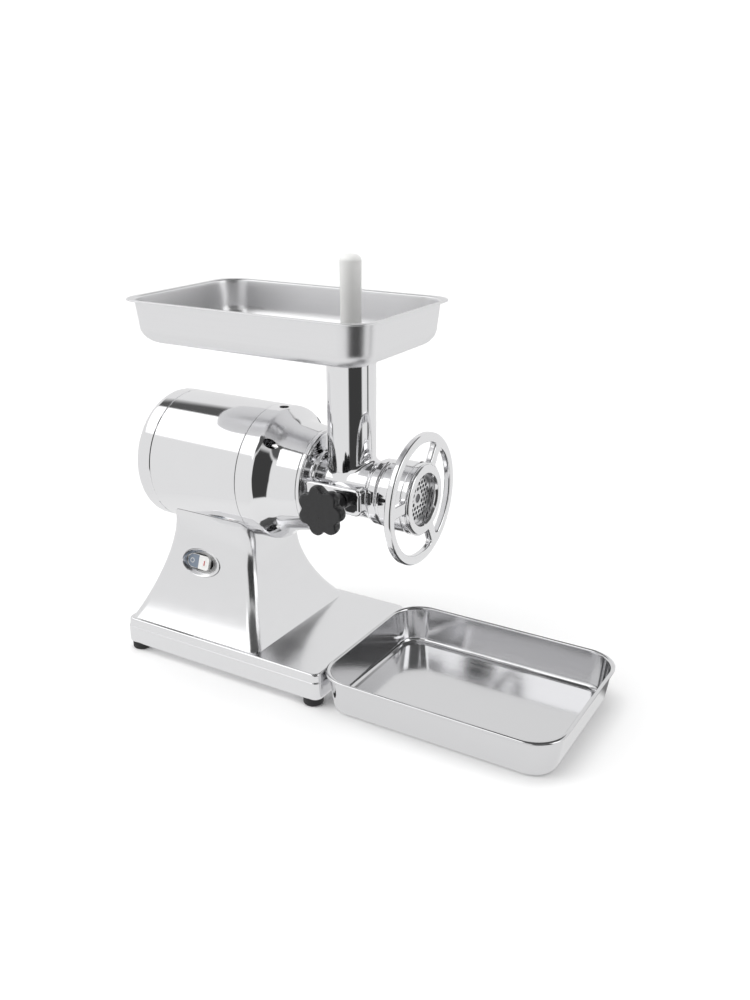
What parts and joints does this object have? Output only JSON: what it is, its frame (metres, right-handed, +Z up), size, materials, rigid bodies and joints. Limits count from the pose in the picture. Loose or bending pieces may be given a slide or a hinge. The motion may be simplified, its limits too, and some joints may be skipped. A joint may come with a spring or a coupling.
{
  "type": "electric meat grinder",
  "caption": "Countertop electric meat grinder: polished motor body on a flared base, slide-in grinding head with ring nut wheel, feed tray, pusher and collecting tray.",
  "frame": {"origin": "centre of the overall box, on the table plane under the feet", "axes": "+X from the rear cap towards the ring nut and collecting tray, +Z up"},
  "size_m": [0.635, 0.239, 0.5435],
  "materials": {
    "polished_aluminium": "mirror polished",
    "satin_stainless": "satin",
    "steel": "machined",
    "electrical_steel": "laminated, varnished",
    "copper_winding": "enamelled",
    "machined_aluminium": "machined",
    "brass": "machined",
    "black_rubber": "matte",
    "black_plastic": "fine grain",
    "white_plastic": "smooth",
    "grey_plastic": "smooth",
    "cream_plastic": "smooth"
  },
  "bodies": {
    "base": {"pedestal_base": "polished_aluminium", "bottom_cover": "satin_stainless", "foot_1": "black_rubber", "foot_2": "black_rubber", "foot_3": "black_rubber", "foot_4": "black_rubber", "motor_shell": "polished_aluminium", "rear_cap": "polished_aluminium", "stator_core": "electrical_steel", "winding_rear": "copper_winding", "winding_front": "copper_winding", "bearing_plate": "machined_aluminium", "rotor_bearing_rear": "steel", "rotor_bearing_front": "steel", "lay_bearing_rear": "steel", "lay_bearing_front": "steel", "output_bearing_rear": "steel", "output_bearing_front": "steel", "output_seal": "black_rubber", "gear_case": "polished_aluminium", "filler_plug": "steel", "case_screw_1": "steel", "case_screw_2": "steel", "case_screw_3": "steel", "case_screw_4": "steel", "front_cover": "polished_aluminium", "cover_screw_1": "steel", "cover_screw_2": "steel", "cover_screw_3": "steel", "switch_bezel": "satin_stainless", "switch_body": "black_plastic", "capacitor": "grey_plastic", "terminal_block": "cream_plastic", "cable_gland": "black_plastic"},
    "rotor": {"rotor_core": "electrical_steel", "motor_shaft": "steel", "motor_pinion": "steel", "cooling_fan": "black_plastic"},
    "layshaft": {"layshaft": "steel", "first_stage_gear": "steel", "second_stage_pinion": "steel"},
    "output": {"output_gear": "steel", "output_shaft": "steel"},
    "head": {"head_body": "polished_aluminium", "head_bush": "brass", "plate_key": "steel"},
    "auger": {"auger": "steel", "cross_knife": "steel"},
    "plate": {"cutting_plate": "steel"},
    "ring_nut": {"ring_nut": "polished_aluminium"},
    "clamp_pad": {"clamp_pad": "brass"},
    "clamp_knob": {"star_knob": "black_plastic", "clamp_stud": "steel"},
    "feed_tray": {"feed_tray": "satin_stainless"},
    "pusher": {"pusher": "white_plastic"},
    "collecting_tray": {"collecting_tray": "satin_stainless"},
    "rocker": {"rocker": "white_plastic"}
  },
  "joints": [
    {"name": "rotor_spin", "type": "hinge", "parent": "base", "child": "rotor", "pos_m": [-0.2065, 0, 0.2595], "axis": [1, 0, 0], "continuous": true},
    {"name": "layshaft_spin", "type": "hinge", "parent": "base", "child": "layshaft", "pos_m": [-0.1015, 0, 0.2205], "axis": [1, 0, 0], "continuous": true},
    {"name": "output_spin", "type": "hinge", "parent": "base", "child": "output", "pos_m": [-0.0915, 0, 0.2595], "axis": [1, 0, 0], "continuous": true},
    {"name": "head_pull", "type": "slide", "parent": "base", "child": "head", "axis": [1, 0, 0], "range_m": [0, 0.12]},
    {"name": "auger_spin", "type": "hinge", "parent": "head", "child": "auger", "pos_m": [0.0085, 0, 0.2595], "axis": [1, 0, 0], "continuous": true},
    {"name": "plate_slide", "type": "slide", "parent": "head", "child": "plate", "axis": [1, 0, 0], "range_m": [0, 0.0125]},
    {"name": "ring_nut_turn", "type": "hinge", "parent": "plate", "child": "ring_nut", "pos_m": [0.0845, 0, 0.2595], "axis": [1, 0, 0], "range_deg": [0, 1440]},
    {"name": "pad_slide", "type": "slide", "parent": "base", "child": "clamp_pad", "axis": [0, -1, 0], "range_m": [0, 0.0032]},
    {"name": "clamp_knob_turn", "type": "hinge", "parent": "clamp_pad", "child": "clamp_knob", "pos_m": [0.0045, -0.09, 0.2595], "axis": [0, -1, 0], "range_deg": [0, 720]},
    {"name": "feed_tray_lift", "type": "slide", "parent": "head", "child": "feed_tray", "axis": [0, 0, 1], "range_m": [0, 0.1]},
    {"name": "pusher_lift", "type": "slide", "parent": "head", "child": "pusher", "axis": [0, 0, 1], "range_m": [0, 0.25]},
    {"name": "tray_slide", "type": "slide", "parent": "base", "child": "collecting_tray", "axis": [1, 0, 0], "range_m": [0, 0.3]},
    {"name": "switch_rock", "type": "hinge", "parent": "base", "child": "rocker", "pos_m": [-0.2205, -0.05523, 0.12798], "axis": [0, 0.3355, 0.9421], "range_deg": [0, 13]}
  ],
  "couplings": [
    {"joint": "layshaft_spin", "follows": "rotor_spin", "ratio": -0.3},
    {"joint": "output_spin", "follows": "rotor_spin", "ratio": 0.13333},
    {"joint": "auger_spin", "follows": "rotor_spin", "ratio": 0.13333},
    {"joint": "plate_slide", "follows": "ring_nut_turn", "m_per_rad": 0.00047746},
    {"joint": "pad_slide", "follows": "clamp_knob_turn", "m_per_rad": 0.00023873}
  ]
}
